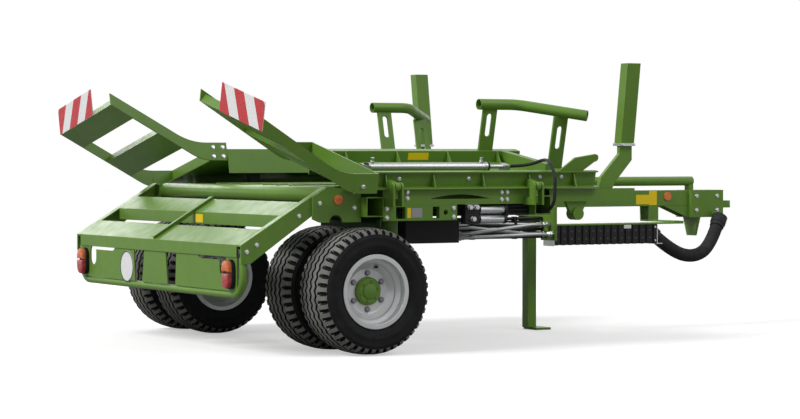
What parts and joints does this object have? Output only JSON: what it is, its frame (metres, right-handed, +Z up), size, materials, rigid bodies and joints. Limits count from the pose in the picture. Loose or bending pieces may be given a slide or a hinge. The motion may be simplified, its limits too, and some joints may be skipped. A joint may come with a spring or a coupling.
{
  "type": "towed bale collector",
  "caption": "Towed collector trailer for big square bales: twin castor wheels, folded side tables with curved ramps, fixed rear ramp, telescopic drawbar and parking stand.",
  "frame": {"origin": "on the ground under the middle of the machine's length and width", "axes": "+X forward along the drawbar, +Y to the machine's left, +Z up"},
  "size_m": [4.545, 3.0604, 1.77],
  "materials": {
    "green_paint": "semi-gloss mid green paint",
    "dark_green_paint": "semi-gloss dark green paint",
    "silver_paint": "satin silver wheel paint",
    "black_plastic": "matte black",
    "tyre_rubber": "matte black tyre rubber",
    "lamp_lens": "clear red lens",
    "white_plate": "white retroreflective sheet",
    "orange_reflector": "orange reflector",
    "bright_steel": "bright steel"
  },
  "bodies": {
    "chassis": {"king_pin_housings": "green_paint", "cross_tubes": "green_paint", "long_beams": "green_paint", "side_beams": "green_paint", "side_rails": "green_paint", "deck": "green_paint", "rear_side_plates": "green_paint", "ramp_rails": "green_paint", "ramp_slats": "green_paint", "underrun_tube": "green_paint", "lamp_plates": "green_paint", "table_hinge_ears": "green_paint", "front_arms": "green_paint", "post_levers": "green_paint", "front_posts": "green_paint", "drawbar_sleeve": "green_paint", "stand_bracket": "green_paint", "line_bracket": "green_paint", "oil_tank": "dark_green_paint", "valve_box": "black_plastic", "table_rests": "black_plastic", "sleeve_wear_pads": "black_plastic", "tail_lamps": "lamp_lens", "rear_disc": "white_plate", "side_reflectors": "orange_reflector", "extension_rod": "bright_steel", "hydraulic_filters": "bright_steel", "hydraulic_lines": "bright_steel"},
    "castor_left": {"castor_left": "green_paint"},
    "castor_right": {"castor_right": "green_paint"},
    "wheels_left": {"tyres_left": "tyre_rubber", "rims_left": "silver_paint", "hub_left": "green_paint"},
    "wheels_right": {"tyres_right": "tyre_rubber", "rims_right": "silver_paint", "hub_right": "green_paint"},
    "table_left": {"table_panel_left": "green_paint", "table_rails_left": "green_paint", "table_ramp_left": "green_paint", "warning_board_left": "white_plate", "skid_left": "green_paint", "table_cylinder_left": "bright_steel"},
    "table_right": {"table_panel_right": "green_paint", "table_rails_right": "green_paint", "table_ramp_right": "green_paint", "warning_board_right": "white_plate", "skid_right": "green_paint", "table_cylinder_right": "bright_steel"},
    "drawbar": {"drawbar_beam": "green_paint", "drawbar_head": "green_paint", "extension_barrel": "green_paint", "chain_tray": "green_paint", "energy_chain": "black_plastic", "hose_loop": "black_plastic", "drawbar_reflectors": "orange_reflector"},
    "stand": {"parking_stand": "green_paint"},
    "roller": {"rear_roller": "green_paint"}
  },
  "joints": [
    {"name": "castor_steer_left", "type": "hinge", "parent": "chassis", "child": "castor_left", "pos_m": [-1.1275, 1.03, 0.7], "axis": [0, 0, 1], "range_deg": [-25, 25]},
    {"name": "wheel_spin_left", "type": "hinge", "parent": "castor_left", "child": "wheels_left", "pos_m": [-1.4275, 1.03, 0.38], "axis": [0, 1, 0], "continuous": true},
    {"name": "castor_steer_right", "type": "hinge", "parent": "chassis", "child": "castor_right", "pos_m": [-1.1275, -1.03, 0.7], "axis": [0, 0, 1], "range_deg": [-25, 25]},
    {"name": "wheel_spin_right", "type": "hinge", "parent": "castor_right", "child": "wheels_right", "pos_m": [-1.4275, -1.03, 0.38], "axis": [0, 1, 0], "continuous": true},
    {"name": "table_fold_left", "type": "hinge", "parent": "chassis", "child": "table_left", "pos_m": [-0.6275, 1.38, 1], "axis": [-1, 0, 0], "range_deg": [0, 167]},
    {"name": "table_fold_right", "type": "hinge", "parent": "chassis", "child": "table_right", "pos_m": [-0.6275, -1.38, 1], "axis": [1, 0, 0], "range_deg": [0, 167]},
    {"name": "drawbar_slide", "type": "slide", "parent": "chassis", "child": "drawbar", "axis": [1, 0, 0], "range_m": [-0.85, 0]},
    {"name": "stand_swing", "type": "hinge", "parent": "chassis", "child": "stand", "pos_m": [0.5725, 0, 0.735], "axis": [0, 1, 0], "range_deg": [0, 90]},
    {"name": "roller_spin", "type": "hinge", "parent": "chassis", "child": "roller", "pos_m": [-1.6135, 0, 0.952], "axis": [0, 1, 0], "continuous": true}
  ]
}
